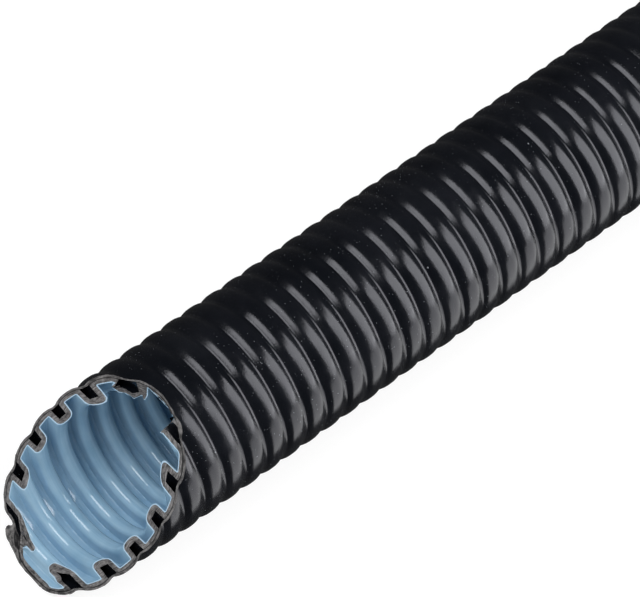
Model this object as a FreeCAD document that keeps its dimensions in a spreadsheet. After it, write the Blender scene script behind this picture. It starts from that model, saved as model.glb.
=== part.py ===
import FreeCAD, Part
import math
import os

# Straight length of flexible corrugated conduit, size 25, in millimetres.
# X runs along the tube, which lies with Z up, and the origin is on the tube's axis at mid length.
# The end towards -X is cut off at a slant and the other end is square. The longer side of the slant makes
# the tube a little heavier there, so its tip is at the bottom, as the tube comes to rest on a floor.
# Three layers are turned about X: a thin outer jacket, the corrugated wall, and a thin inner lining.
# The jacket bridges the grooves of the wall, which leaves a closed ring of air in each groove.
# The corrugations are rings, not a helix, and every layer keeps to the same pitch.
# The square end is cut through the top of a crest, to which the pitch is fitted.

SIZES = [
    # The whole tube
    ("overall_length", 1000, "tip of the slanted end to the square end"),
    ("outer_diameter", 25, "over the crests of the jacket"),
    ("wave_height", 3.35, "from the crests of the jacket to the ridges of the lining, which leaves the bore"),
    ("pitch", 3.71, "from one corrugation to the next, before it is fitted to the square end"),
    ("first_valley", 4.2, "from the tip to the first valley of the jacket"),
    # Outer jacket
    ("jacket_wall", 0.35, "thickness of the jacket on a crest"),
    ("valley_depth", 0.45, "depth of the waves in the jacket"),
    ("valley_round", 0.7, "radius along the bottom of a valley"),
    ("crest_land", 0.5, "straight top of a crest"),
    ("bridge_sag", 0.08, "dip of the jacket's underside into a groove"),
    # Corrugated wall
    ("crest_dome", 0.3, "rise of the wall's crest above its shoulders"),
    ("crest_wall", 0.55, "thickness of the wall at a crest"),
    ("flank_wall", 0.5, "thickness of the wall's flanks"),
    ("ridge_wall", 0.85, "thickness of the wall below a groove"),
    ("groove_width", 1.1, "width of a groove between the shoulders"),
    ("flank_taper", 3.3, "lean of each flank, in degrees"),
    # Inner lining
    ("lining_wall", 0.12, "thickness of the lining"),
    ("ridge_land", 0.24, "straight top of a ridge, between its two rounded edges"),
    # Slanted cut
    ("cut_lean", 45.6, "angle between the cut and a square cut, in degrees"),
]

SHORTEST_LINE = 1e-5


def make_sheet(doc):
    """Write each size, its name and its meaning into a sheet, and return the sheet."""
    sheet = doc.addObject("Spreadsheet::Sheet", "sizes")
    for row, (name, value, meaning) in enumerate(SIZES, start=1):
        sheet.set(f"A{row}", name)
        sheet.set(f"B{row}", str(value))
        sheet.set(f"C{row}", meaning)
        sheet.setAlias(f"B{row}", name)
    doc.recompute()
    return sheet


def rounded_edges(corners):
    """Return lines through (x, radius, rounding) corners, with a tangent arc at each rounded corner."""
    places = [FreeCAD.Vector(x, r, 0) for x, r, rounding in corners]
    edges = []
    last = places[0]
    for i in range(1, len(corners)):
        start = mid = end = places[i]
        rounding = corners[i][2]
        if rounding > 0 and i < len(corners) - 1:
            arriving = (places[i] - places[i - 1]).normalize()
            leaving = (places[i + 1] - places[i]).normalize()
            half_turn = arriving.getAngle(leaving) / 2
            reach = rounding * math.tan(half_turn)
            inward = (leaving - arriving).normalize()
            start = places[i] - arriving * reach
            end = places[i] + leaving * reach
            mid = places[i] + inward * (rounding / math.cos(half_turn) - rounding)
        if last.distanceToPoint(start) > SHORTEST_LINE:
            edges.append(Part.LineSegment(last, start).toShape())
            last = start
        if end != mid:
            edges.append(Part.Arc(last, mid, end).toShape())
            last = end
    return edges


def arch_corner(x, chord_radius, half_chord, rise):
    """Return the corner that rounds into one arc over a chord, rising (or, below zero, dipping) by rise."""
    rounding = (half_chord ** 2 + rise ** 2) / (2 * abs(rise))
    half_angle = math.asin(half_chord / rounding)
    return (x, chord_radius + math.copysign(half_chord * math.tan(half_angle), rise), rounding)


class Corrugation:
    """The five profile lines between the layers of the tube, from the sizes in the sheet."""

    def __init__(self, sheet):
        self.size = sheet
        corrugated = sheet.overall_length - sheet.first_valley
        whole_waves = round(corrugated / sheet.pitch - 0.5)
        self.pitch = corrugated / (whole_waves + 0.5)
        first = sheet.first_valley - sheet.overall_length / 2
        self.valleys = [first + i * self.pitch for i in range(-1, whole_waves + 2)]
        self.near = self.valleys[0] - self.pitch / 2
        self.far = self.valleys[-1] + self.pitch / 2
        self.taper = math.radians(sheet.flank_taper)
        self.crest_top = sheet.outer_diameter / 2 - sheet.jacket_wall
        self.shoulder = self.crest_top - sheet.crest_dome
        self.pocket = self.crest_top - sheet.crest_wall
        self.ridge = sheet.outer_diameter / 2 - sheet.wave_height + sheet.lining_wall
        self.groove_floor = self.ridge + sheet.ridge_wall
        self.ridge_turn = math.pi / 2 - self.taper

    def groove_half(self, radius):
        """Half the width of a groove at a radius."""
        return self.size.groove_width / 2 - (self.shoulder - radius) * math.tan(self.taper)

    def flank_half(self, radius, thickness):
        """Half the width at a radius of a ridge that covers a groove with this thickness."""
        return self.groove_half(radius) + thickness / math.cos(self.taper)

    def crest_arch(self, x):
        """Corner of the arc over a crest of the wall, which the jacket rests on."""
        half_chord = (self.pitch - self.size.groove_width) / 2
        return arch_corner(x, self.shoulder, half_chord, self.size.crest_dome)

    def jacket_outside(self):
        """Waves of the jacket: a short land on each crest and a tighter curve in each valley."""
        crest = self.size.outer_diameter / 2
        span = (self.pitch - self.size.crest_land) / 2
        slope = 2 * math.atan(self.size.valley_depth / span)
        valley_round = self.size.valley_round
        crest_round = span / math.sin(slope) - valley_round
        crest_corner = span - crest_round * math.tan(slope / 2)
        valley_corner = crest - self.size.valley_depth + valley_round - valley_round / math.cos(slope)
        corners = [(self.near, crest, 0)]
        for x in self.valleys:
            corners.append((x - crest_corner, crest, crest_round))
            corners.append((x, valley_corner, valley_round))
            corners.append((x + crest_corner, crest, crest_round))
        corners.append((self.far, crest, 0))
        return corners

    def jacket_inside(self):
        """Underside of the jacket: it follows the wall's crests and dips a little over the grooves."""
        groove_half = self.size.groove_width / 2
        corners = []
        for x in self.valleys:
            corners.append(self.crest_arch(x - self.pitch / 2))
            corners.append((x - groove_half, self.shoulder, 0))
            corners.append(arch_corner(x, self.shoulder, groove_half, -self.size.bridge_sag))
            corners.append((x + groove_half, self.shoulder, 0))
        return self.closed_at_shoulders(corners)

    def wall_outside(self):
        """Outside of the wall: domed crests between grooves with leaning flanks and a flat floor."""
        groove_half = self.size.groove_width / 2
        floor_half = self.groove_half(self.groove_floor)
        corners = []
        for x in self.valleys:
            corners.append(self.crest_arch(x - self.pitch / 2))
            corners.append((x - groove_half, self.shoulder, 0))
            corners.append((x - floor_half, self.groove_floor, 0))
            corners.append((x + floor_half, self.groove_floor, 0))
            corners.append((x + groove_half, self.shoulder, 0))
        return self.closed_at_shoulders(corners)

    def closed_at_shoulders(self, corners):
        """Start a profile at the shoulder before its first crest, and end it at its last shoulder."""
        before = self.valleys[0] - self.pitch + self.size.groove_width / 2
        return [(before, self.shoulder, 0)] + corners

    def inside(self, cover):
        """Rounded ridges and sharp pockets inside the tube, with this much lining over the wall."""
        thickness = self.size.flank_wall + cover
        ridge = self.ridge - cover
        pocket = self.pocket - cover
        ridge_half = self.flank_half(ridge, thickness)
        pocket_half = self.flank_half(pocket, thickness)
        ridge_round = self.bore_round() - self.size.lining_wall + cover
        corners = [(self.near, pocket, 0)]
        for x in self.valleys:
            corners.append((x - pocket_half, pocket, 0))
            corners.append((x - ridge_half, ridge, ridge_round))
            corners.append((x + ridge_half, ridge, ridge_round))
            corners.append((x + pocket_half, pocket, 0))
        corners.append((self.far, pocket, 0))
        return corners

    def bore_round(self):
        """Radius of the lining round the edges of a ridge, which leaves the straight land between them."""
        lining = self.size.lining_wall
        ridge_half = self.flank_half(self.ridge - lining, self.size.flank_wall + lining)
        return (ridge_half - self.size.ridge_land / 2) / math.tan(self.ridge_turn / 2)

    def wall_inside(self):
        """Inside of the wall, which the lining covers."""
        return self.inside(0)

    def lining_inside(self):
        """Inside of the lining, which is the bore."""
        return self.inside(self.size.lining_wall)


def ring_section(outer_corners, inner_corners):
    """Return the flat section between two profiles, closed at both of its ends."""
    outer = rounded_edges(outer_corners)
    inner = rounded_edges(inner_corners)
    near = Part.LineSegment(inner[0].Vertexes[0].Point, outer[0].Vertexes[0].Point).toShape()
    far = Part.LineSegment(outer[-1].Vertexes[-1].Point, inner[-1].Vertexes[-1].Point).toShape()
    return Part.Face(Part.Wire(outer + [far] + inner[::-1] + [near]))


def make_cut_block(doc):
    """Return the block that keeps the tube between its slanted end and its square end.

    It reaches one tube diameter below and above the axis, and over each of them its slanted side
    runs as far along the tube as the cut does over the whole tube. It is turned so that it rises with Z.
    """
    block = doc.addObject("Part::Wedge", "kept_length")
    width = "sizes.outer_diameter"
    rise = f"tan(sizes.cut_lean * 1 deg) * {width}"
    middle = f"-sizes.overall_length / 2 + {rise} / 2"
    bounds = {
        "Xmin": f"{middle} - {rise}",
        "X2min": f"{middle} + {rise}",
        "Xmax": "sizes.overall_length / 2",
        "X2max": "sizes.overall_length / 2",
        "Ymin": f"-{width}",
        "Ymax": width,
        "Zmin": f"-{width}",
        "Z2min": f"-{width}",
        "Zmax": width,
        "Z2max": width,
    }
    for name, formula in bounds.items():
        block.setExpression(name, formula)
    upright = FreeCAD.Rotation(FreeCAD.Vector(1, 0, 0), 90)
    block.Placement = FreeCAD.Placement(FreeCAD.Vector(0, 0, 0), upright)
    return block


def make_layer(doc, name, section_shape, block):
    """Turn a section about the tube's axis, cut it to length, and return the layer."""
    section = doc.addObject("Part::Feature", f"{name}_section")
    section.Shape = section_shape
    turned = doc.addObject("Part::Revolution", f"{name}_turned")
    turned.Source = section
    turned.Axis = FreeCAD.Vector(1, 0, 0)
    turned.Base = FreeCAD.Vector(0, 0, 0)
    turned.Angle = 360
    turned.Solid = True
    layer = doc.addObject("Part::Common", f"{name}_cut")
    layer.Base = turned
    layer.Tool = block
    layer.Label = name
    return layer


def check(doc, layers):
    """Stop if any object failed, or if a layer is not one valid solid."""
    for item in doc.Objects:
        if "Invalid" in item.State or "Error" in item.State:
            raise RuntimeError(f"{item.Label} failed: {item.State}")
    for layer in layers:
        if layer.Shape.isNull() or not layer.Shape.isValid() or len(layer.Shape.Solids) != 1:
            raise RuntimeError(f"{layer.Label} is not one valid solid")


def main():
    """Build the three layers and write each to its own file."""
    doc = FreeCAD.newDocument("corrugated_conduit")
    sheet = make_sheet(doc)
    form = Corrugation(sheet)
    block = make_cut_block(doc)
    layers = [
        make_layer(doc, "outer_jacket", ring_section(form.jacket_outside(), form.jacket_inside()), block),
        make_layer(doc, "corrugated_wall", ring_section(form.wall_outside(), form.wall_inside()), block),
        make_layer(doc, "inner_lining", ring_section(form.wall_inside(), form.lining_inside()), block),
    ]
    doc.recompute()
    check(doc, layers)
    os.makedirs("parts", exist_ok=True)
    for layer in layers:
        layer.Shape.exportStep(f"parts/{layer.Label}.step")
        print(layer.Label, round(layer.Shape.Volume), "mm3", len(layer.Shape.Faces), "faces")


main()
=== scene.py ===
"""Looks of a straight length of flexible corrugated conduit, seen at its slanted end.

The tube has three layers: a black outer jacket, a corrugated wall that is grey where it is cut,
and a pale blue inner lining. X runs along the tube, Z is up, and lengths are in metres.
"""

import logging
import math
from dataclasses import dataclass, field
from enum import Enum
from typing import Sequence

import bpy
import numpy as np
from mathutils import Matrix, Vector, noise


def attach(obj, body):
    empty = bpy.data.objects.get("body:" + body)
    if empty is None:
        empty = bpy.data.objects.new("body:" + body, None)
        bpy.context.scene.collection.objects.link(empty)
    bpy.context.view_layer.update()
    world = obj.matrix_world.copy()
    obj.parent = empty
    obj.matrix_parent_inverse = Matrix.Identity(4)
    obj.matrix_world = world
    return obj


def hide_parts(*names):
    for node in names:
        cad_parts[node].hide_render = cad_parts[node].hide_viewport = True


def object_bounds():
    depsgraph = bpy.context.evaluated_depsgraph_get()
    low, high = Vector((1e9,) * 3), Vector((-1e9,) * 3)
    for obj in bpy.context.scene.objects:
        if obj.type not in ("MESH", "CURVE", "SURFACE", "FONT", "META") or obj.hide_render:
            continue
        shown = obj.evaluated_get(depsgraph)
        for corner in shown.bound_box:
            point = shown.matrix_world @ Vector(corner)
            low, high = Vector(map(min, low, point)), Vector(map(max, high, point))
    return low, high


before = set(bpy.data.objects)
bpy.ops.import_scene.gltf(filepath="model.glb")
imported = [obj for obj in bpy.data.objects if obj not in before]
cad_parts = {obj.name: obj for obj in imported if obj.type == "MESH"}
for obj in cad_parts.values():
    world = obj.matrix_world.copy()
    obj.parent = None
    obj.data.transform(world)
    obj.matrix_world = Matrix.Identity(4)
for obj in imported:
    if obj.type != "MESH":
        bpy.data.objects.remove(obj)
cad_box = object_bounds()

LOG = logging.getLogger("conduit")

Corner = tuple[float, float, float, int]
Profile = list[tuple[float, float]]
Colour = tuple[float, float, float, float]
Materials = tuple[bpy.types.Material, bpy.types.Material]

WHITE: Colour = (1, 1, 1, 1)
FLOAT = "NodeSocketFloat"
VECTOR = "NodeSocketVector"

# In metres: a millimetre, and how near a vertex counts as merged, on a cut's plane or on an open end.
MM = 0.001
MERGE = 2e-6
ON_PLANE = 2e-7
ON_RING = 5e-5

# The tube's length and the place of its first valley from the tip, in millimetres, and the pitches after it.
LENGTH = 1000.0
FIRST_VALLEY = 4.2
PITCHES = 268.5

# Faces that meet at less than this many degrees are shaded as one smooth surface.
SMOOTH_ANGLE = 32.0


class Layer(Enum):
    """The three layers of the tube, by the name of their CAD node."""

    JACKET = "outer_jacket"
    WALL = "corrugated_wall"
    LINING = "inner_lining"


class Detail(Enum):
    """How finely a stretch of the tube is modelled, as the number of steps round it."""

    FINE = 200
    NEAR = 120
    FAR_OUTSIDE = 56
    FAR_INSIDE = 20


# Modelling helpers


def select_only(obj: bpy.types.Object) -> None:
    """Deselect everything, then select one object and make it active."""
    bpy.ops.object.select_all(action="DESELECT")
    obj.select_set(True)
    bpy.context.view_layer.objects.active = obj


def edit_all(obj: bpy.types.Object) -> None:
    """Open an object in edit mode with everything in it selected."""
    select_only(obj)
    bpy.ops.object.mode_set(mode="EDIT")
    bpy.ops.mesh.select_mode(type="VERT")
    bpy.ops.mesh.select_all(action="SELECT")


def edit_some(obj: bpy.types.Object, chosen: np.ndarray) -> None:
    """Open an object in edit mode with only some of its vertices selected.

    Args:
        obj: The object to edit.
        chosen: One true or false value for each vertex.
    """
    edit_all(obj)
    bpy.ops.mesh.select_all(action="DESELECT")
    bpy.ops.object.mode_set(mode="OBJECT")
    obj.data.vertices.foreach_set("select", chosen.astype(bool))
    bpy.ops.object.mode_set(mode="EDIT")


def leave_edit() -> None:
    """Go back to object mode."""
    bpy.ops.object.mode_set(mode="OBJECT")


def places(obj: bpy.types.Object) -> np.ndarray:
    """Return the places of an object's vertices as rows of x, y and z."""
    flat = np.zeros(len(obj.data.vertices) * 3, np.float32)
    obj.data.vertices.foreach_get("co", flat)
    return flat.reshape(-1, 3).astype(float)


def set_places(obj: bpy.types.Object, rows: np.ndarray) -> None:
    """Move an object's vertices to new places."""
    obj.data.vertices.foreach_set("co", rows.astype(np.float32).ravel())
    obj.data.update()


def show_cut(obj: bpy.types.Object, chosen: np.ndarray) -> None:
    """Give the second material to the faces whose corners are all chosen.

    Args:
        obj: The object.
        chosen: One true or false value for each vertex.
    """
    for face in obj.data.polygons:
        if all(chosen[i] for i in face.vertices):
            face.material_index = 1


def rounded_profile(corners: Sequence[Corner]) -> Profile:
    """Turn corners into points, with an arc at each corner that has a rounding.

    Args:
        corners: The x, radius, rounding and number of arc steps of each corner, in millimetres.

    Returns:
        The points along the profile, as x and radius.
    """
    points: Profile = [corners[0][:2]]
    for before, corner, after in zip(corners, corners[1:], corners[2:]):
        place = Vector(corner[:2])
        rounding, steps = corner[2:]
        if rounding == 0:
            points.append(corner[:2])
            continue
        arriving = (place - Vector(before[:2])).normalized()
        leaving = (Vector(after[:2]) - place).normalized()
        half_turn = arriving.angle(leaving) / 2
        start = place - arriving * rounding * math.tan(half_turn)
        centre = place + (leaving - arriving).normalized() * rounding / math.cos(half_turn)
        first = start - centre
        sign = math.copysign(1, arriving.x * leaving.y - arriving.y * leaving.x)
        for step in range(steps + 1):
            turn = sign * 2 * half_turn * step / steps
            arm = Vector((first.x * math.cos(turn) - first.y * math.sin(turn),
                          first.x * math.sin(turn) + first.y * math.cos(turn)))
            points.append((centre.x + arm.x, centre.y + arm.y))
    points.append(corners[-1][:2])
    distinct = [points[0]]
    for point in points[1:]:
        if math.dist(point, distinct[-1]) > MERGE / MM:
            distinct.append(point)
    return distinct


def arch_corner(x: float, chord_radius: float, half_chord: float, rise: float, steps: int) -> Corner:
    """Work out the corner that rounds into one arc over a chord.

    Args:
        x: Place of the chord's middle.
        chord_radius: Radius of the chord from the axis.
        half_chord: Half the chord's length.
        rise: Height of the arc over the chord, negative if it dips.
        steps: Steps in the arc.

    Returns:
        The corner.
    """
    rounding = (half_chord ** 2 + rise ** 2) / (2 * abs(rise))
    reach = half_chord * math.tan(math.asin(half_chord / rounding))
    return (x, chord_radius + math.copysign(reach, rise), rounding, steps)


# Shape of the tube


@dataclass(frozen=True)
class Corrugation:
    """Profile lines of the layers over one pitch, from crest to crest, in millimetres."""

    pitch: float = (LENGTH - FIRST_VALLEY) / PITCHES
    outer_radius: float = 12.5
    bore_radius: float = 9.15
    jacket_wall: float = 0.35
    valley_depth: float = 0.45
    valley_round: float = 0.7
    crest_land: float = 0.5
    bridge_sag: float = 0.08
    crest_dome: float = 0.3
    crest_wall: float = 0.55
    flank_wall: float = 0.5
    ridge_wall: float = 0.85
    groove_width: float = 1.1
    flank_taper: float = math.radians(3.3)
    lining_wall: float = 0.12
    ridge_land: float = 0.24
    pocket_round: float = 0.10

    @property
    def crest_top(self) -> float:
        """Radius of the wall's crests."""
        return self.outer_radius - self.jacket_wall

    @property
    def shoulder(self) -> float:
        """Radius of the wall's shoulders, at the edges of a groove."""
        return self.crest_top - self.crest_dome

    @property
    def groove_floor(self) -> float:
        """Radius of the floor of a groove."""
        return self.bore_radius + self.lining_wall + self.ridge_wall

    def groove_half(self, radius: float) -> float:
        """Return half the width of a groove at a radius."""
        return self.groove_width / 2 - (self.shoulder - radius) * math.tan(self.flank_taper)

    @property
    def dome_round(self) -> float:
        """Radius of the arc over a crest of the wall."""
        half_chord = (self.pitch - self.groove_width) / 2
        return (half_chord ** 2 + self.crest_dome ** 2) / (2 * self.crest_dome)

    @property
    def ridge_round(self) -> float:
        """Radius of the lining round the edges of a ridge."""
        thickness = (self.flank_wall + self.lining_wall) / math.cos(self.flank_taper)
        ridge_half = self.groove_half(self.bore_radius) + thickness
        return (ridge_half - self.ridge_land / 2) / math.tan((math.pi / 2 - self.flank_taper) / 2)

    def jacket_outside(self, crest_steps: int, valley_steps: int) -> Profile:
        """Work out the waves of the jacket.

        Args:
            crest_steps: Steps in each arc of a crest.
            valley_steps: Steps in the arc of a valley.

        Returns:
            The points along one pitch.
        """
        span = (self.pitch - self.crest_land) / 2
        slope = 2 * math.atan(self.valley_depth / span)
        crest_round = span / math.sin(slope) - self.valley_round
        crest_corner = span - crest_round * math.tan(slope / 2)
        floor = self.outer_radius - self.valley_depth
        dip = floor + self.valley_round - self.valley_round / math.cos(slope)
        return rounded_profile([
            (-self.pitch / 2, self.outer_radius, 0, 0),
            (-crest_corner, self.outer_radius, crest_round, crest_steps),
            (0, dip, self.valley_round, valley_steps),
            (crest_corner, self.outer_radius, crest_round, crest_steps),
            (self.pitch / 2, self.outer_radius, 0, 0),
        ])

    def half_crest(self, steps: int) -> Profile:
        """Work out the arc from the top of a crest of the wall down to the next shoulder.

        Args:
            steps: Steps in the arc.

        Returns:
            The points along the arc.
        """
        half_chord = (self.pitch - self.groove_width) / 2
        whole = rounded_profile([
            (-half_chord, self.shoulder, 0, 0),
            arch_corner(0, self.shoulder, half_chord, self.crest_dome, 2 * steps),
            (half_chord, self.shoulder, 0, 0),
        ])
        return [(x - self.pitch / 2, r) for x, r in whole[len(whole) // 2:]]

    def jacket_inside(self, crest_steps: int, sag_steps: int) -> Profile:
        """Work out the jacket's underside, which rests on the crests and bridges the grooves.

        Args:
            crest_steps: Steps in each half of a crest.
            sag_steps: Steps in the arc over a groove.

        Returns:
            The points along one pitch.
        """
        left = self.half_crest(crest_steps)
        half = self.groove_width / 2
        bridge = rounded_profile([
            (-half, self.shoulder, 0, 0),
            arch_corner(0, self.shoulder, half, -self.bridge_sag, sag_steps),
            (half, self.shoulder, 0, 0),
        ])
        return left + bridge[1:-1] + [(-x, r) for x, r in left[::-1]]

    def wall_outside(self, crest_steps: int) -> Profile:
        """Work out the outside of the wall: domed crests and a deep groove between them.

        Args:
            crest_steps: Steps in each half of a crest.

        Returns:
            The points along one pitch.
        """
        left = self.half_crest(crest_steps)
        floor_half = self.groove_half(self.groove_floor)
        left.append((-floor_half, self.groove_floor))
        return left + [(-x, r) for x, r in left[::-1]]

    def inside(self, cover: float, ridge_steps: int, pocket_steps: int) -> Profile:
        """Work out the ridges and pockets inside the tube.

        Args:
            cover: Thickness of lining over the wall, zero for the wall itself.
            ridge_steps: Steps in each arc of a ridge.
            pocket_steps: Steps in each arc of a pocket.

        Returns:
            The points along one pitch.
        """
        ridge = self.bore_radius + self.lining_wall - cover
        pocket = self.crest_top - self.crest_wall - cover
        thickness = (self.flank_wall + cover) / math.cos(self.flank_taper)
        ridge_half = self.groove_half(ridge) + thickness
        pocket_half = self.groove_half(pocket) + thickness
        ridge_round = self.ridge_round - self.lining_wall + cover
        pocket_round = self.pocket_round + self.lining_wall - cover
        return rounded_profile([
            (-self.pitch / 2, pocket, 0, 0),
            (-pocket_half, pocket, pocket_round, pocket_steps),
            (-ridge_half, ridge, ridge_round, ridge_steps),
            (ridge_half, ridge, ridge_round, ridge_steps),
            (pocket_half, pocket, pocket_round, pocket_steps),
            (self.pitch / 2, pocket, 0, 0),
        ])


@dataclass(frozen=True)
class Area:
    """A part of the cut, as a band of directions and a band of radii with soft edges.

    Attributes:
        at: Direction of its middle round the axis, from +Y towards +Z, in degrees.
        half: Half its width, in degrees.
        fade: Width of its soft edges, in degrees.
        inner: Its inner radius, in millimetres.
        outer: Its outer radius, in millimetres.
        blend: Width of its soft inner and outer edges, in millimetres.
    """

    at: float
    half: float
    fade: float
    inner: float
    outer: float
    blend: float = 0.5

    def share(self, turn: float, radius: float) -> float:
        """Work out how much of a place lies in the area.

        Args:
            turn: Direction of the place round the axis, in degrees.
            radius: Its distance from the axis, in millimetres.

        Returns:
            A share from 0 to 1.
        """
        away = abs((turn - self.at + 180) % 360 - 180)
        side = smooth((self.half - away) / self.fade + 0.5)
        above = smooth((radius - self.inner) / self.blend + 0.5)
        below = smooth((self.outer - radius) / self.blend + 0.5)
        return side * above * below


@dataclass(frozen=True)
class Dent:
    """An area where the cut runs further back along the tube, or less far, by a depth in millimetres."""

    area: Area
    depth: float


@dataclass(frozen=True)
class Tear:
    """An area where everything before a place along the tube is torn off.

    Attributes:
        area: The area.
        back_to: The torn edge, in millimetres from the first valley.
        rag: Unevenness of the torn edge, in millimetres.
    """

    area: Area
    back_to: float
    rag: float = 0.2


def smooth(value: float) -> float:
    """Return a smooth step from 0 to 1 as the value goes from 0 to 1."""
    held = min(1.0, max(0.0, value))
    return held * held * (3 - 2 * held)


@dataclass(frozen=True)
class SlantedCut:
    """The slanted cut: a plane with dents, tears and a ragged edge.

    The plane is x = start + rise * z, in millimetres, with x from the first valley.

    Attributes:
        rim: Radius at which the rim begins, with rim_blend as the width of the change.
        rim_rag: Unevenness of the rim.
        inner_rag: Unevenness of the rest of the cut.
        rag_size: Size of the unevenness.
        rag_row: Where in the noise it is taken from.
        finer: How many times smaller its finer part is, and finer_share how strong.
    """

    start: float = 8.571
    rise: float = 0.9661
    rim: float = 11.9
    rim_blend: float = 0.4
    rim_rag: float = 0.10
    inner_rag: float = 0.045
    rag_size: float = 0.8
    rag_row: float = 3.0
    finer: float = 2.7
    finer_share: float = 0.6
    dents: tuple[Dent, ...] = (
        Dent(Area(at=-65, half=12, fade=14, inner=10.7, outer=12.4, blend=1.0), 1.45),
        Dent(Area(at=-87, half=16, fade=20, inner=11.4, outer=20), 0.75),
        Dent(Area(at=-97, half=10, fade=3, inner=0, outer=10.4), -0.75),
        Dent(Area(at=-118, half=6, fade=8, inner=10.6, outer=12.0), -0.6),
        Dent(Area(at=84, half=26, fade=14, inner=12.0, outer=20, blend=1.0), -0.6),
    )
    tears: tuple[Tear, ...] = (
        Tear(Area(at=60.5, half=9, fade=2, inner=0, outer=10.7, blend=0.4), 18.3, 0.15),
        Tear(Area(at=73, half=4.5, fade=1.5, inner=0, outer=11.3, blend=0.6), 19.15, 0.2),
        Tear(Area(at=92, half=15.5, fade=2.5, inner=0, outer=11.8, blend=0.2), 19.75, 0.25),
    )

    def offset(self, y: float, z: float) -> float:
        """Work out how far the cut is from its plane at a place.

        Args:
            y: Place along Y, in millimetres.
            z: Place along Z, in millimetres.

        Returns:
            The distance along the tube, in millimetres.
        """
        turn = math.degrees(math.atan2(z, y))
        radius = math.hypot(y, z)
        grain = Vector((y, z, self.rag_row)) / self.rag_size
        ragged = noise.noise(grain) + self.finer_share * noise.noise(grain * self.finer)
        moved = sum(dent.depth * dent.area.share(turn, radius) for dent in self.dents)
        for tear in self.tears:
            short = tear.back_to + tear.rag * ragged - (self.start + self.rise * z + moved)
            moved += max(0.0, short) * tear.area.share(turn, radius)
        at_rim = smooth((radius - self.rim) / self.rim_blend + 0.5)
        return moved + ragged * (self.inner_rag + at_rim * (self.rim_rag - self.inner_rag))

    def offsets(self, rows: np.ndarray) -> np.ndarray:
        """Return the offset in metres for each row of places in metres."""
        return np.array([self.offset(y / MM, z / MM) * MM for x, y, z in rows])

    def cut(self, obj: bpy.types.Object, valley: float) -> None:
        """Cut off what lies before the slanted cut, close it, and give the cut the second material.

        Args:
            obj: The piece to cut. Its vertices are shifted so that the cut is flat, and shifted back.
            valley: Place of the first valley along X, in millimetres.
        """
        rows = places(obj)
        rows[:, 0] -= self.offsets(rows)
        set_places(obj, rows)
        normal = Vector((1, 0, -self.rise)).normalized()
        point = Vector(((valley + self.start) * MM, 0, 0))
        edit_all(obj)
        bpy.ops.mesh.bisect(
            plane_co=point, plane_no=normal, use_fill=True, clear_inner=True, threshold=ON_PLANE)
        leave_edit()
        rows = places(obj)
        height = (rows - np.array(point)) @ np.array(normal)
        show_cut(obj, np.abs(height) < MERGE)
        rows[:, 0] += self.offsets(rows)
        set_places(obj, rows)


@dataclass(frozen=True)
class Stretch:
    """A run of whole pitches of the tube.

    Attributes:
        first: Number of its first valley, counted from the first one after the tip.
        last: Number of its last valley.
        detail: How finely it is modelled.
    """

    first: int
    last: int
    detail: Detail

    @property
    def count(self) -> int:
        """How many pitches it has."""
        return self.last - self.first + 1

    @property
    def slanted(self) -> bool:
        """Whether it reaches past the first valley to the slanted end."""
        return self.first < 0


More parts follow.
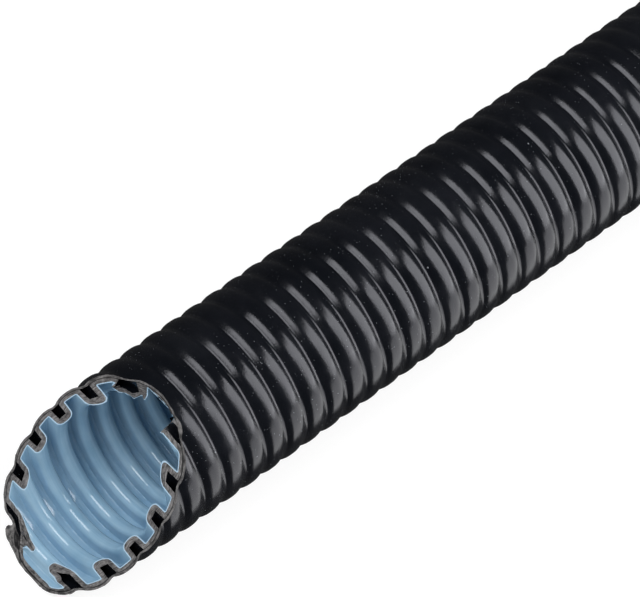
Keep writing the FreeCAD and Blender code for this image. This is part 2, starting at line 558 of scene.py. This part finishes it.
@dataclass
class TubeLayer:
    """Builder for the pieces of the three layers.

    Attributes:
        shape: The profile lines.
        tip: Place of the tube's tip along X, in millimetres.
        first_valley: From the tip to the first valley, in millimetres.
        end: Place of the square end along X, in millimetres.
        slant: The slanted cut.
    """

    shape: Corrugation = field(default_factory=Corrugation)
    tip: float = -LENGTH / 2
    first_valley: float = FIRST_VALLEY
    end: float = LENGTH / 2
    slant: SlantedCut = field(default_factory=SlantedCut)

    @property
    def start(self) -> float:
        """Place of the first valley along X, in millimetres."""
        return self.tip + self.first_valley

    @property
    def last(self) -> int:
        """Number of the last valley, half a pitch before the square end."""
        return round((self.end - self.start) / self.shape.pitch - 0.5)

    def skin(self, name: str, profile: Profile, stretch: Stretch) -> bpy.types.Object:
        """Extrude a ring along one pitch of a profile, then repeat it along the stretch.

        Args:
            name: Name of the new object.
            profile: Points of one pitch, as x from the valley and radius.
            stretch: The run of pitches.

        Returns:
            An open tube.
        """
        start = self.start + stretch.first * self.shape.pitch
        x, radius = profile[0]
        bpy.ops.object.select_all(action="DESELECT")
        bpy.ops.mesh.primitive_circle_add(
            vertices=stretch.detail.value, radius=radius * MM, fill_type="NOTHING",
            location=((start + x) * MM, 0, 0), rotation=(0, math.pi / 2, 0))
        obj = bpy.context.object
        obj.name = name
        bpy.ops.object.transform_apply(location=True, rotation=True, scale=True)
        edit_all(obj)
        for next_x, next_radius in profile[1:]:
            bpy.ops.mesh.extrude_region_move(
                TRANSFORM_OT_translate={"value": ((next_x - x) * MM, 0, 0), "orient_type": "GLOBAL"})
            grow = next_radius / radius
            bpy.ops.transform.resize(
                value=(1, grow, grow), orient_type="GLOBAL", center_override=((start + next_x) * MM, 0, 0))
            x, radius = next_x, next_radius
        leave_edit()
        repeat = obj.modifiers.new("pitches", "ARRAY")
        repeat.use_relative_offset = False
        repeat.use_constant_offset = True
        repeat.constant_offset_displace = (self.shape.pitch * MM, 0, 0)
        repeat.count = stretch.count
        repeat.use_merge_vertices = True
        repeat.merge_threshold = MERGE
        bpy.ops.object.modifier_apply(modifier=repeat.name)
        return obj

    def edge_of(self, valley: int, after: bool) -> float:
        """Return the place of the crest before or after a valley, in millimetres."""
        side = 0.5 if after else -0.5
        return self.start + (valley + side) * self.shape.pitch

    def close_ring(self, obj: bpy.types.Object, edge: float) -> None:
        """Close an open end with a flat ring.

        Args:
            obj: The piece, with a ring of vertices of each skin at the end.
            edge: Place of the end along X, in millimetres.
        """
        rows = places(obj)
        on_edge = np.abs(rows[:, 0] - edge * MM) < ON_RING
        rows[on_edge, 0] = edge * MM
        set_places(obj, rows)
        edit_some(obj, on_edge)
        bpy.ops.mesh.fill(use_beauty=False)
        leave_edit()

    def piece(self, name: str, profiles: tuple[Profile, Profile], stretch: Stretch,
              materials: Materials) -> bpy.types.Object:
        """Build one closed piece of a layer.

        Args:
            name: Name of the piece.
            profiles: Outer and inner profile of one pitch.
            stretch: The run of pitches.
            materials: Materials of the skin and of the cut.

        Returns:
            The finished piece.
        """
        outside, inside = profiles
        outer = self.skin(name, outside, stretch)
        inner = self.skin(name + "_bore", inside, stretch)
        select_only(outer)
        inner.select_set(True)
        bpy.ops.object.join()
        self.close_ring(outer, self.edge_of(stretch.last, True))
        for material in materials:
            outer.data.materials.append(material)
        if stretch.slanted:
            self.slant.cut(outer, self.start)
        else:
            self.close_ring(outer, self.edge_of(stretch.first, False))
        show_cut(outer, np.abs(places(outer)[:, 0] - self.end * MM) < MERGE)
        edit_all(outer)
        bpy.ops.mesh.normals_make_consistent(inside=False)
        leave_edit()
        select_only(outer)
        bpy.ops.object.shade_smooth_by_angle(angle=math.radians(SMOOTH_ANGLE))
        return outer


# Finishes


@dataclass(frozen=True)
class Cloud:
    """Settings of a noise texture. In a group, one of the group's inputs can be its scale."""

    scale: float | bpy.types.NodeSocket
    detail: float = 2.0
    roughness: float = 0.5


@dataclass(frozen=True)
class Ramp:
    """A straight line from start to stop while a value goes from low to high, held beyond both."""

    low: float
    high: float
    start: float = 0.0
    stop: float = 1.0


@dataclass(frozen=True)
class Specks:
    """Settings of scattered dust: cells in a metre, share of them with a speck, and its radius in cells."""

    scale: float
    share: float
    size: float


@dataclass(frozen=True)
class Grain:
    """Settings of an uneven surface: scales of two patterns, share of the fine one, and the bump."""

    coarse: float
    fine: float
    share: float
    strength: float
    height: float


# Size of a speck by chance, fading of the painted shade on the seam with the distance in millimetres, and
# streaks of a cut.
SPECK_SIZES = Ramp(0, 1, 0.4, 1)
SEAM_SHADE = Ramp(0.02, 0.09, 1.0, 0.0)
STREAKS = Cloud(1.0, 3.0, 0.6)


class Nodes:
    """A short way to add and join the nodes of a material, a world or a group."""

    def __init__(self, tree: bpy.types.NodeTree) -> None:
        """Start with an empty tree."""
        self.tree = tree
        tree.nodes.clear()

    def add(self, kind: str, inputs: dict | None = None, **settings: object) -> bpy.types.Node:
        """Add a node.

        Args:
            kind: Blender's name for the node's type.
            inputs: Values, or output sockets to join, for the node's inputs.
            **settings: Properties of the node.

        Returns:
            The new node.
        """
        node = self.tree.nodes.new(kind)
        for name, value in settings.items():
            setattr(node, name, value)
        for name, value in (inputs or {}).items():
            if isinstance(value, bpy.types.NodeSocket):
                self.tree.links.new(value, node.inputs[name])
            else:
                node.inputs[name].default_value = value
        return node

    def maths(self, operation: str, first: object, second: object = 0.0) -> bpy.types.NodeSocket:
        """Add a maths node and return its output."""
        node = self.add("ShaderNodeMath", {0: first, 1: second}, operation=operation)
        return node.outputs[0]

    def ramp(self, value: bpy.types.NodeSocket, ramp: Ramp) -> bpy.types.NodeSocket:
        """Send a value through a ramp and return the result."""
        node = self.add("ShaderNodeMapRange", {"Value": value, "From Min": ramp.low, "From Max": ramp.high,
                                               "To Min": ramp.start, "To Max": ramp.stop})
        return node.outputs["Result"]

    def choose(self, flag: bpy.types.NodeSocket, no: object, yes: object) -> bpy.types.NodeSocket:
        """Return one value where a flag is 0, and the other where it is 1."""
        node = self.add("ShaderNodeMapRange", {"Value": flag, "To Min": no, "To Max": yes})
        return node.outputs["Result"]

    def mix(self, factor: object, first: object, second: object) -> bpy.types.NodeSocket:
        """Mix two colours and return the result."""
        node = self.add("ShaderNodeMix", {0: factor, 6: first, 7: second}, data_type="RGBA")
        return node.outputs[2]

    def blend(self, factor: object, first: object, second: object) -> bpy.types.NodeSocket:
        """Mix two values and return the result."""
        node = self.add("ShaderNodeMix", {0: factor, 2: first, 3: second}, data_type="FLOAT")
        return node.outputs[0]

    def scaled(self, vector: object, by: tuple[float, float, float]) -> bpy.types.NodeSocket:
        """Stretch a pattern's coordinates."""
        node = self.add("ShaderNodeMapping", {"Vector": vector, "Scale": by})
        return node.outputs["Vector"]

    def cloud(self, vector: object, cloud: Cloud) -> bpy.types.NodeSocket:
        """Add a noise texture and return its value."""
        node = self.add("ShaderNodeTexNoise", {"Vector": vector, "Scale": cloud.scale,
                                               "Detail": cloud.detail, "Roughness": cloud.roughness})
        return node.outputs["Fac"]


class GroupNodes(Nodes):
    """The nodes of a new shader node group, with its input and output nodes in place."""

    def __init__(self, name: str, inputs: dict[str, tuple[str, object]], outputs: dict[str, str]) -> None:
        """Make the group.

        Args:
            name: Name of the group.
            inputs: Socket type and first value of each input, by name.
            outputs: Socket type of each output, by name.
        """
        super().__init__(bpy.data.node_groups.new(name, "ShaderNodeTree"))
        for title, (kind, value) in inputs.items():
            self.tree.interface.new_socket(title, in_out="INPUT", socket_type=kind).default_value = value
        for title, kind in outputs.items():
            self.tree.interface.new_socket(title, in_out="OUTPUT", socket_type=kind)
        self.source = self.add("NodeGroupInput")
        self.result = self.add("NodeGroupOutput")

    def send(self, title: str, value: bpy.types.NodeSocket) -> None:
        """Join a value to one of the group's outputs."""
        self.tree.links.new(value, self.result.inputs[title])


def dust_group() -> bpy.types.NodeTree:
    """Make the group that scatters fine specks of dust, and return it."""
    nodes = GroupNodes(
        "dust",
        {"Place": (VECTOR, (0, 0, 0)), "Scale": (FLOAT, 900.0), "Share": (FLOAT, 0.1),
         "Size": (FLOAT, 0.25)},
        {"Mask": FLOAT})
    source = nodes.source.outputs
    cells = nodes.add("ShaderNodeTexVoronoi", {"Vector": source["Place"], "Scale": source["Scale"]})
    chance = nodes.add("ShaderNodeSeparateColor", {"Color": cells.outputs["Color"]})
    picked = nodes.maths("LESS_THAN", chance.outputs[0], source["Share"])
    size = nodes.maths("MULTIPLY", source["Size"], nodes.ramp(chance.outputs[1], SPECK_SIZES))
    near = nodes.maths("LESS_THAN", cells.outputs["Distance"], size)
    nodes.send("Mask", nodes.maths("MULTIPLY", picked, near))
    return nodes.tree


def layers_group(shape: Corrugation, start: float) -> bpy.types.NodeTree:
    """Make the group that follows the seam between the jacket and the wall through the cut, for the painted
    shade of a thin gap there.

    Args:
        shape: The profile lines.
        start: Place of the first valley along X, in millimetres.

    Returns:
        The group. Streak varies along lines beside the seam, and the second output is 1 on the seam itself,
        where the shade of a thin gap between the layers is painted.
    """
    nodes = GroupNodes(
        "cut_layers",
        {"Place": (VECTOR, (0, 0, 0)), "Across": (FLOAT, 7.0), "Along": (FLOAT, 0.9)},
        {"Streak": FLOAT, "Seam": FLOAT})
    source = nodes.source.outputs
    in_mm = nodes.scaled(source["Place"], (1 / MM, 1 / MM, 1 / MM))
    axes = nodes.add("ShaderNodeSeparateXYZ", {0: in_mm}).outputs
    flat = nodes.add("ShaderNodeCombineXYZ", {1: axes[1], 2: axes[2]}).outputs[0]
    radius = nodes.add("ShaderNodeVectorMath", {0: flat}, operation="LENGTH").outputs["Value"]
    phase = nodes.maths("DIVIDE", nodes.maths("SUBTRACT", axes[0], start), shape.pitch)
    from_valley = nodes.maths("PINGPONG", phase, 0.5)
    from_crest = nodes.maths("MULTIPLY", nodes.maths("SUBTRACT", 0.5, from_valley), shape.pitch)
    fall = nodes.maths("DIVIDE", nodes.maths("MULTIPLY", from_crest, from_crest), 2 * shape.dome_round)
    below = nodes.maths("SUBTRACT", nodes.maths("SUBTRACT", shape.crest_top, fall), radius)
    along = nodes.add("ShaderNodeVectorMath", {0: flat, "Scale": source["Along"]}, operation="SCALE")
    across = nodes.add("ShaderNodeCombineXYZ", {0: nodes.maths("MULTIPLY", below, source["Across"])})
    lines = nodes.add("ShaderNodeVectorMath", {0: along.outputs[0], 1: across.outputs[0]}, operation="ADD")
    nodes.send("Streak", nodes.cloud(lines.outputs[0], STREAKS))
    # Mask of the painted shade: a near-black line along the seam, where a thin gap's shade would fall.
    nodes.send("Seam", nodes.ramp(nodes.maths("ABSOLUTE", below), SEAM_SHADE))
    return nodes.tree


def grain_group() -> bpy.types.NodeTree:
    """Make the group that gives fine and coarse unevenness, and return it."""
    nodes = GroupNodes(
        "grain",
        {"Place": (VECTOR, (0, 0, 0)), "Coarse": (FLOAT, 300.0), "Fine": (FLOAT, 4000.0),
         "Share": (FLOAT, 0.3)},
        {"Height": FLOAT})
    source = nodes.source.outputs
    coarse = nodes.cloud(source["Place"], Cloud(source["Coarse"]))
    fine = nodes.cloud(source["Place"], Cloud(source["Fine"]))
    nodes.send("Height", nodes.maths("ADD", coarse, nodes.maths("MULTIPLY", fine, source["Share"])))
    return nodes.tree


@dataclass(frozen=True)
class Groups:
    """The node groups that the finishes share."""

    layers: bpy.types.NodeTree
    dust: bpy.types.NodeTree = field(default_factory=dust_group)
    grain: bpy.types.NodeTree = field(default_factory=grain_group)


class MaterialNodes(Nodes):
    """The nodes of a new material, with the place on the object and the shared groups at hand."""

    def __init__(self, name: str, groups: Groups) -> None:
        """Make the material.

        Args:
            name: Name of the material.
            groups: The node groups that the finishes share.
        """
        self.material = bpy.data.materials.new(name)
        self.material.use_nodes = True
        super().__init__(self.material.node_tree)
        self.groups = groups
        self.place = self.add("ShaderNodeTexCoord").outputs["Object"]

    def specks(self, specks: Specks) -> bpy.types.NodeSocket:
        """Scatter specks of dust and return their mask."""
        inputs = {"Place": self.place, "Scale": specks.scale, "Share": specks.share, "Size": specks.size}
        node = self.add("ShaderNodeGroup", inputs, node_tree=self.groups.dust)
        return node.outputs["Mask"]

    def uneven(self, grain: Grain) -> bpy.types.NodeSocket:
        """Return the height of an uneven surface."""
        inputs = {"Place": self.place, "Coarse": grain.coarse, "Fine": grain.fine, "Share": grain.share}
        node = self.add("ShaderNodeGroup", inputs, node_tree=self.groups.grain)
        return node.outputs["Height"]

    def bump(self, height: bpy.types.NodeSocket, grain: Grain) -> bpy.types.NodeSocket:
        """Turn a height into the normal of a bumpy surface."""
        node = self.add("ShaderNodeBump", {"Height": height, "Strength": grain.strength,
                                           "Distance": grain.height})
        return node.outputs["Normal"]

    def finish(self, **inputs: object) -> bpy.types.Material:
        """Join a Principled shader to the output.

        Args:
            **inputs: The shader's inputs, with an underscore for each space in a name.

        Returns:
            The finished material.
        """
        spaced = {key.replace("_", " "): value for key, value in inputs.items()}
        principled = self.add("ShaderNodeBsdfPrincipled", spaced)
        self.add("ShaderNodeOutputMaterial", {"Surface": principled.outputs["BSDF"]})
        return self.material


@dataclass(frozen=True)
class JacketFinish:
    """Black plastic with a soft gloss, fine dust and a slightly uneven surface.

    Clouds say where something is, and ramps how much of it there is. Dusty runs from 0 to 1.
    """

    name: str = "black_jacket"
    dusty: float = 0.6
    colour: Colour = (0.0030, 0.0038, 0.0058, 1)
    worn: Colour = (0.0070, 0.0080, 0.0110, 1)
    dust: Colour = (0.34, 0.36, 0.39, 1)
    fine_dust: Specks = Specks(2600.0, 0.30, 0.16)
    coarse_dust: Specks = Specks(650.0, 0.04, 0.09)
    drifts: Cloud = Cloud(90.0)
    drifted: Ramp = Ramp(0.36, 0.62)
    patches: Cloud = Cloud(120.0, 3.0, 0.6)
    wear: Ramp = Ramp(0.35, 0.7)
    patch_roughness: Ramp = Ramp(0.3, 0.7, 0.13, 0.20)
    smears: Cloud = Cloud(900.0, 3.0, 0.65)
    smear_roughness: Ramp = Ramp(0.35, 0.7, 0.0, 0.08)
    grain: Grain = Grain(260.0, 4200.0, 0.40, 0.5, 0.00006)
    refraction: float = 1.5
    tint: Colour = (0.92, 0.93, 1.0, 1)

    def material(self, groups: Groups) -> bpy.types.Material:
        """Build the material.

        Args:
            groups: The node groups that the finishes share.

        Returns:
            The material.
        """
        nodes = MaterialNodes(self.name, groups)
        patches = nodes.cloud(nodes.place, self.patches)
        smears = nodes.cloud(nodes.place, self.smears)
        drifts = nodes.ramp(nodes.cloud(nodes.place, self.drifts), self.drifted)
        specks = nodes.maths("MULTIPLY", nodes.specks(self.fine_dust), drifts)
        specks = nodes.maths("MAXIMUM", specks, nodes.specks(self.coarse_dust))
        dust = nodes.maths("MULTIPLY", specks, self.dusty)
        body = nodes.mix(nodes.ramp(patches, self.wear), self.colour, self.worn)
        roughness = nodes.maths("ADD", nodes.ramp(patches, self.patch_roughness),
                                nodes.ramp(smears, self.smear_roughness))
        return nodes.finish(
            Base_Color=nodes.mix(dust, body, self.dust),
            Roughness=nodes.maths("MAXIMUM", roughness, dust),
            Normal=nodes.bump(nodes.uneven(self.grain), self.grain),
            IOR=self.refraction,
            Specular_Tint=self.tint)


@dataclass(frozen=True)
class CutFinish:
    """Cut plastic: mottled grey, with streaks along the cut, painted shade along the seam between the
    layers, and a rough surface.

    Streaked is the share of the streaks in the pattern, and contrast its change from dark to light.
    """

    name: str
    light: Colour
    dark: Colour
    # Painted shade: near-black colour on the seam between jacket and wall, standing in for the shade of a
    # thin gap.
    seam_shade: Colour = (0.012, 0.012, 0.013, 1)
    mottle: Cloud = Cloud(1300.0, 4.0, 0.7)
    streaked: float = 0.55
    contrast: Ramp = Ramp(0.42, 0.60)
    streak_height: float = 1.5
    grain: Grain = Grain(1400.0, 6000.0, 0.5, 1.0, 0.00018)
    roughness: Ramp = Ramp(0.3, 0.7, 0.42, 0.7)
    refraction: float = 1.48

    def material(self, groups: Groups) -> bpy.types.Material:
        """Build the material.

        Args:
            groups: The node groups that the finishes share.

        Returns:
            The material.
        """
        nodes = MaterialNodes(self.name, groups)
        layers = nodes.add("ShaderNodeGroup", {"Place": nodes.place}, node_tree=groups.layers).outputs
        mottle = nodes.cloud(nodes.place, self.mottle)
        tone = nodes.ramp(nodes.blend(self.streaked, mottle, layers["Streak"]), self.contrast)
        face = nodes.mix(tone, self.dark, self.light)
        streaks = nodes.maths("MULTIPLY", layers["Streak"], self.streak_height)
        height = nodes.maths("ADD", nodes.uneven(self.grain), streaks)
        # The painted shade of the seam goes over the face colour.
        return nodes.finish(
            Base_Color=nodes.mix(layers["Seam"], face, self.seam_shade),
            Roughness=nodes.ramp(mottle, self.roughness),
            Normal=nodes.bump(height, self.grain),
            IOR=self.refraction)


@dataclass(frozen=True)
class LiningFinish:
    """Pale blue plastic with a satin gloss and faint rings.

    Patchy is the share of the patches in the pattern, and contrast its change from deep to pale.
    """

    name: str = "blue_lining"
    pale: Colour = (0.38, 0.58, 0.74, 1)
    deep: Colour = (0.26, 0.45, 0.62, 1)
    ring_scale: tuple[float, float, float] = (2600.0, 60.0, 60.0)
    rings: Cloud = Cloud(1.0)
    patches: Cloud = Cloud(220.0, 3.0, 0.55)
    patchy: float = 0.5
    contrast: Ramp = Ramp(0.35, 0.65)
    grain: Grain = Grain(380.0, 3000.0, 0.15, 0.4, 0.00006)
    roughness: Ramp = Ramp(0.3, 0.7, 0.07, 0.14)
    refraction: float = 1.68

    def material(self, groups: Groups) -> bpy.types.Material:
        """Build the material.

        Args:
            groups: The node groups that the finishes share.

        Returns:
            The material.
        """
        nodes = MaterialNodes(self.name, groups)
        rings = nodes.cloud(nodes.scaled(nodes.place, self.ring_scale), self.rings)
        patches = nodes.cloud(nodes.place, self.patches)
        tone = nodes.ramp(nodes.blend(self.patchy, rings, patches), self.contrast)
        return nodes.finish(
            Base_Color=nodes.mix(tone, self.deep, self.pale),
            Roughness=nodes.ramp(patches, self.roughness),
            Normal=nodes.bump(nodes.uneven(self.grain), self.grain),
            IOR=self.refraction)


# The conduit


@dataclass(frozen=True)
class Dress:
    """What the pieces of a layer share: their layer, a slot that is not used, and the materials of skin and
    cut.
    """

    layer: Layer
    slot: str
    materials: Materials


@dataclass(frozen=True)
class PiecePlan:
    """What one piece is built from. The outer profile of a pitch comes before the inner one."""

    name: str
    dress: Dress
    profiles: tuple[Profile, Profile]
    stretch: Stretch


@dataclass
class Conduit:
    """The whole tube, in nine pieces: a finely modelled cut end and plainer lengths behind it.

    Attributes:
        fine: Number of the last valley of the cut end.
        near: Number of the last valley of the next piece of the jacket.
        lining_near: The same for the lining.
        middle: Number of the last valley of the jacket's third piece.
        tube: Builder of the pieces.
    """

    fine: int = 7
    near: int = 29
    lining_near: int = 18
    middle: int = 139
    tube: TubeLayer = field(default_factory=TubeLayer)

    def plans(self, jacket: Dress, wall: Dress, lining: Dress) -> list[PiecePlan]:
        """Plan every piece, from the jacket inwards.

        Args:
            jacket: What the pieces of the jacket share.
            wall: What the pieces of the wall share.
            lining: What the pieces of the lining share.

        Returns:
            The plans.
        """
        shape = self.tube.shape
        cover = shape.lining_wall
        near_jacket = (shape.jacket_outside(4, 6), shape.jacket_inside(2, 2))
        far_jacket = (shape.jacket_outside(2, 2), shape.jacket_inside(1, 1))
        near_wall = (shape.wall_outside(3), shape.inside(0, 5, 3))
        far_wall = (shape.wall_outside(1), shape.inside(0, 1, 1))
        near_lining = (shape.inside(0, 5, 3), shape.inside(cover, 5, 3))
        far_lining = (shape.inside(0, 1, 1), shape.inside(cover, 1, 1))
        last = self.tube.last
        cut_end = Stretch(-1, self.fine, Detail.FINE)
        jacket_near = Stretch(self.fine + 1, self.near, Detail.NEAR)
        jacket_middle = Stretch(self.near + 1, self.middle, Detail.FAR_OUTSIDE)
        square_end = Stretch(self.middle + 1, last, Detail.FAR_OUTSIDE)
        wall_length = Stretch(self.fine + 1, last, Detail.FAR_INSIDE)
        lining_near = Stretch(self.fine + 1, self.lining_near, Detail.FAR_OUTSIDE)
        lining_length = Stretch(self.lining_near + 1, last, Detail.FAR_INSIDE)
        return [
            PiecePlan("jacket_cut_end", jacket, near_jacket, cut_end),
            PiecePlan("jacket_near", jacket, near_jacket, jacket_near),
            PiecePlan("jacket_middle", jacket, far_jacket, jacket_middle),
            PiecePlan("jacket_square_end", jacket, far_jacket, square_end),
            PiecePlan("wall_cut_end", wall, near_wall, cut_end),
            PiecePlan("wall_length", wall, far_wall, wall_length),
            PiecePlan("lining_cut_end", lining, near_lining, cut_end),
            PiecePlan("lining_near", lining, near_lining, lining_near),
            PiecePlan("lining_length", lining, far_lining, lining_length),
        ]

    def build(self, groups: Groups) -> None:
        """Build and dress every piece, put it under the root body in place of its CAD part, and log it.

        Args:
            groups: The node groups that the finishes share.
        """
        jacket = Dress(Layer.JACKET, "jacket", (
            JacketFinish().material(groups),
            CutFinish("cut_jacket", (0.29, 0.28, 0.278, 1), (0.05, 0.049, 0.05, 1)).material(groups)))
        wall = Dress(Layer.WALL, "wall", (
            JacketFinish("black_wall", dusty=0.0).material(groups),
            CutFinish("cut_wall", (0.33, 0.32, 0.32, 1), (0.065, 0.063, 0.064, 1)).material(groups)))
        lining = Dress(Layer.LINING, "lining", (
            LiningFinish().material(groups),
            LiningFinish("cut_lining", (0.55, 0.74, 0.90, 1), (0.46, 0.66, 0.84, 1)).material(groups)))
        for plan in self.plans(jacket, wall, lining):
            layer, slot = plan.dress.layer, plan.dress.slot
            piece = self.tube.piece(plan.name, plan.profiles, plan.stretch, plan.dress.materials)
            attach(piece, "root")
            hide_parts(layer.value)
            triangles = sum(len(face.vertices) - 2 for face in piece.data.polygons)
            LOG.info("%s: %d triangles", plan.name, triangles)


# Studio


class Lights(Enum):
    """What a lamp acts on."""

    EVERYTHING = "everything"
    COLOURS = "colours"
    REFLECTIONS = "reflections"


@dataclass(frozen=True)
class Softbox:
    """A rectangular lamp, placed by the direction in which the object sees it.

    Attributes:
        name: Its name.
        towards: From the tube's cut end to the lamp's middle, in metres.
        up: Direction of its height.
        width: Its width in metres.
        height: Its height in metres.
        radiance: How bright it looks, where 1 is white.
        lights: What it acts on.
    """

    name: str
    towards: tuple[float, float, float]
    up: tuple[float, float, float]
    width: float
    height: float
    radiance: float
    lights: Lights = Lights.EVERYTHING

    def place(self, around: Vector) -> None:
        """Put the lamp into the scene.

        Args:
            around: The place that towards starts from.
        """
        data = bpy.data.lights.new(self.name, "AREA")
        data.shape = "RECTANGLE"
        data.size = self.width
        data.size_y = self.height
        data.energy = self.radiance * math.pi * self.width * self.height
        lamp = bpy.data.objects.new(self.name, data)
        bpy.context.scene.collection.objects.link(lamp)
        out = Vector(self.towards).normalized()
        side = Vector(self.up).cross(out).normalized()
        turned = Matrix((side, out.cross(side), out)).transposed().to_4x4()
        turned.translation = around + Vector(self.towards)
        lamp.matrix_world = turned
        lamp.visible_camera = False
        lamp.visible_diffuse = self.lights is not Lights.REFLECTIONS
        lamp.visible_glossy = self.lights is not Lights.COLOURS


@dataclass(frozen=True)
class Studio:
    """Pale floor, soft lamps, pale surroundings and the camera.

    Attributes:
        first_valley: Place of the tube's first valley along X, in millimetres.
        floor_reach: From the middle of the floor to its edges, in metres.
        floor_colour: Colour that the floor throws back on the tube.
        floor_seen: Colour of the floor for the camera, with floor_glow added.
        focus: The place that the lamps stand round.
        ambient: Strength of the surroundings' light, and mirrored that in reflections.
        camera_place: Place of the camera, with x from the first valley.
        camera_turn: Turn of the camera about X, Y and Z, in degrees.
    """

    first_valley: float
    floor_reach: float = 30.0
    floor_colour: Colour = (0.75, 0.75, 0.76, 1)
    floor_seen: Colour = (0.26, 0.26, 0.26, 1)
    floor_glow: float = 0.82
    focus: tuple[float, float, float] = (-0.43, 0.0, 0.0)
    ambient: float = 0.19
    mirrored: float = 0.05
    camera_place: tuple[float, float, float] = (-0.15872, -0.17321, 0.43890)
    camera_turn: tuple[float, float, float] = (31.699, -5.676, -41.089)
    lens: float = 204.7
    sensor: float = 36.0
    clip: tuple[float, float] = (0.01, 100.0)
    lamps: tuple[Softbox, ...] = (
        Softbox("softbox_side", (0.632, -0.587, 0.513), (-0.3, 0.63, 0.82), 0.72, 1.33, 4.0),
        Softbox("softbox_above", (-0.31, 0.30, 0.96), (0.0, 1.0, 0.05), 0.44, 0.97, 4.3),
        Softbox("softbox_low", (0.62, -0.93, -0.46), (0.0, -0.477, 0.879), 1.1, 1.0, 1.8,
                Lights.REFLECTIONS),
        Softbox("softbox_front", (-0.75, -0.3, 0.62), (0.0, 0.0, 1.0), 0.9, 0.7, 1.15, Lights.COLOURS),
    )

    def build(self) -> None:
        """Build the whole studio."""
        self.add_floor()
        self.add_world()
        for lamp in self.lamps:
            lamp.place(Vector(self.focus))
        self.add_camera()
        bpy.context.scene.view_settings.view_transform = "Standard"

    def add_floor(self) -> None:
        """Add the floor that the tube lies on. Reflections and shadows pass through it."""
        bpy.ops.object.select_all(action="DESELECT")
        bpy.ops.mesh.primitive_plane_add(size=2 * self.floor_reach, location=(0, 0, cad_box[0].z))
        floor = bpy.context.object
        floor.name = "floor"
        made = bpy.data.materials.new("pale_floor")
        made.use_nodes = True
        nodes = Nodes(made.node_tree)
        path = nodes.add("ShaderNodeLightPath").outputs
        plain = nodes.add("ShaderNodeBsdfDiffuse", {"Color": self.floor_colour})
        soft = nodes.add("ShaderNodeBsdfDiffuse", {"Color": self.floor_seen})
        glow = nodes.add("ShaderNodeEmission", {"Color": WHITE, "Strength": self.floor_glow})
        seen = nodes.add("ShaderNodeAddShader", {0: soft.outputs[0], 1: glow.outputs[0]})
        solid = nodes.add("ShaderNodeMixShader", {0: path["Is Camera Ray"], 1: plain.outputs[0],
                                                  2: seen.outputs[0]})
        passing = nodes.maths("MAXIMUM", path["Is Glossy Ray"], path["Is Shadow Ray"])
        through = nodes.add("ShaderNodeBsdfTransparent")
        whole = nodes.add("ShaderNodeMixShader", {0: passing, 1: solid.outputs[0], 2: through.outputs[0]})
        nodes.add("ShaderNodeOutputMaterial", {"Surface": whole.outputs[0]})
        floor.data.materials.append(made)

    def add_world(self) -> None:
        """Add white surroundings for the camera and a dim even light for the rest."""
        world = bpy.data.worlds.new("surroundings")
        bpy.context.scene.world = world
        world.use_nodes = True
        nodes = Nodes(world.node_tree)
        path = nodes.add("ShaderNodeLightPath").outputs
        around = nodes.choose(path["Is Glossy Ray"], self.ambient, self.mirrored)
        strength = nodes.choose(path["Is Camera Ray"], around, 1.0)
        back = nodes.add("ShaderNodeBackground", {"Color": WHITE, "Strength": strength})
        nodes.add("ShaderNodeOutputWorld", {"Surface": back.outputs[0]})

    def add_camera(self) -> None:
        """Add the camera at the photograph's angle."""
        data = bpy.data.cameras.new("camera")
        data.lens = self.lens
        data.sensor_width = self.sensor
        data.clip_start, data.clip_end = self.clip
        camera = bpy.data.objects.new("camera", data)
        camera.location = Vector(self.camera_place) + Vector((self.first_valley * MM, 0, 0))
        camera.rotation_euler = [math.radians(angle) for angle in self.camera_turn]
        bpy.context.scene.collection.objects.link(camera)
        bpy.context.scene.camera = camera


def main() -> None:
    """Build the studio and the conduit, and report each piece."""
    logging.basicConfig(level=logging.INFO, format="%(message)s")
    conduit = Conduit()
    conduit.build(Groups(layers_group(conduit.tube.shape, conduit.tube.start)))
    Studio(conduit.tube.start).build()


if __name__ == "__main__":
    main()
